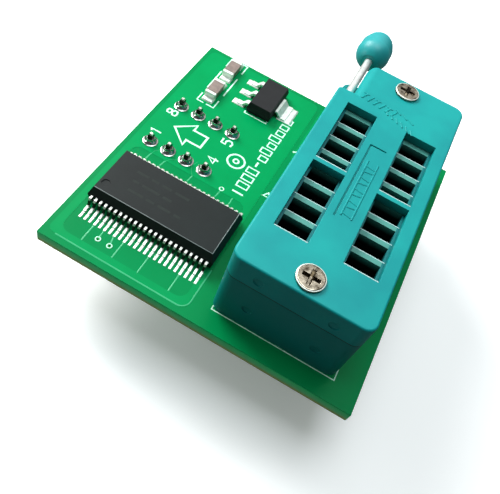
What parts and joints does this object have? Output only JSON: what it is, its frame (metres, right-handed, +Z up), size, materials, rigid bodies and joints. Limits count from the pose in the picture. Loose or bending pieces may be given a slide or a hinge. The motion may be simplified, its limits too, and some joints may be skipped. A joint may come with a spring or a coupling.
{
  "type": "programmer adapter board with zero insertion force socket",
  "caption": "Plug-in level-shifter adapter board for a chip programmer, with a lever-operated zero-insertion-force test socket and header pins underneath.",
  "frame": {"origin": "centre of the bottom of the bounding box, at the tips of the header pins", "axes": "+X right along the front edge, +Y back towards the lever's knob, +Z up out of the component side"},
  "size_m": [0.0374, 0.0488, 0.0211],
  "materials": {
    "solder_mask_green": "glass-fibre board with glossy green solder mask",
    "header_black": "moulded black nylon",
    "pin_tin": "tin plate",
    "solder": "bright solder",
    "socket_teal": "glass-filled teal plastic, satin",
    "slider_teal": "glass-filled teal plastic, satin",
    "contact_metal": "plated spring bronze",
    "screw_nickel": "nickel plate",
    "lever_steel": "bright plated wire",
    "knob_teal": "moulded teal plastic",
    "chip_epoxy": "matte moulded epoxy",
    "lead_tin": "tin plate",
    "regulator_epoxy": "matte moulded epoxy",
    "capacitor_ceramic": "fired ceramic, grey brown"
  },
  "bodies": {
    "board": {"circuit_board": "solder_mask_green", "header_strip_front": "header_black", "header_strip_rear": "header_black", "header_pin_1": "pin_tin", "header_pin_2": "pin_tin", "header_pin_3": "pin_tin", "header_pin_4": "pin_tin", "header_pin_5": "pin_tin", "header_pin_6": "pin_tin", "header_pin_7": "pin_tin", "header_pin_8": "pin_tin", "header_solder_joints": "solder", "socket_base": "socket_teal", "socket_cover": "socket_teal", "socket_contact_1": "contact_metal", "socket_contact_2": "contact_metal", "socket_contact_3": "contact_metal", "socket_contact_4": "contact_metal", "socket_contact_5": "contact_metal", "socket_contact_6": "contact_metal", "socket_contact_7": "contact_metal", "socket_contact_8": "contact_metal", "socket_contact_9": "contact_metal", "socket_contact_10": "contact_metal", "socket_contact_11": "contact_metal", "socket_contact_12": "contact_metal", "socket_contact_13": "contact_metal", "socket_contact_14": "contact_metal", "socket_contact_15": "contact_metal", "socket_contact_16": "contact_metal", "socket_solder_joints": "solder", "cover_screw_front": "screw_nickel", "cover_screw_rear": "screw_nickel", "level_shifter_body": "chip_epoxy", "level_shifter_leads_front": "lead_tin", "level_shifter_leads_rear": "lead_tin", "regulator_body": "regulator_epoxy", "regulator_leads": "lead_tin", "regulator_tab": "lead_tin", "capacitor_1_body": "capacitor_ceramic", "capacitor_1_terminals": "lead_tin", "capacitor_2_body": "capacitor_ceramic", "capacitor_2_terminals": "lead_tin"},
    "lever": {"lever_rod": "lever_steel", "lever_knob": "knob_teal"},
    "slider": {"socket_slider": "slider_teal"}
  },
  "joints": [
    {"name": "lever_hinge", "type": "hinge", "parent": "board", "child": "lever", "pos_m": [0.00215, 0.00822, 0.01734], "axis": [1, 0, 0], "range_deg": [0, 90]},
    {"name": "slider_slide", "type": "slide", "parent": "board", "child": "slider", "axis": [0, -1, 0], "range_m": [0, 0.0006]}
  ],
  "couplings": [
    {"joint": "lever_hinge", "follows": "slider_slide", "rad_per_m": 2617.9}
  ]
}
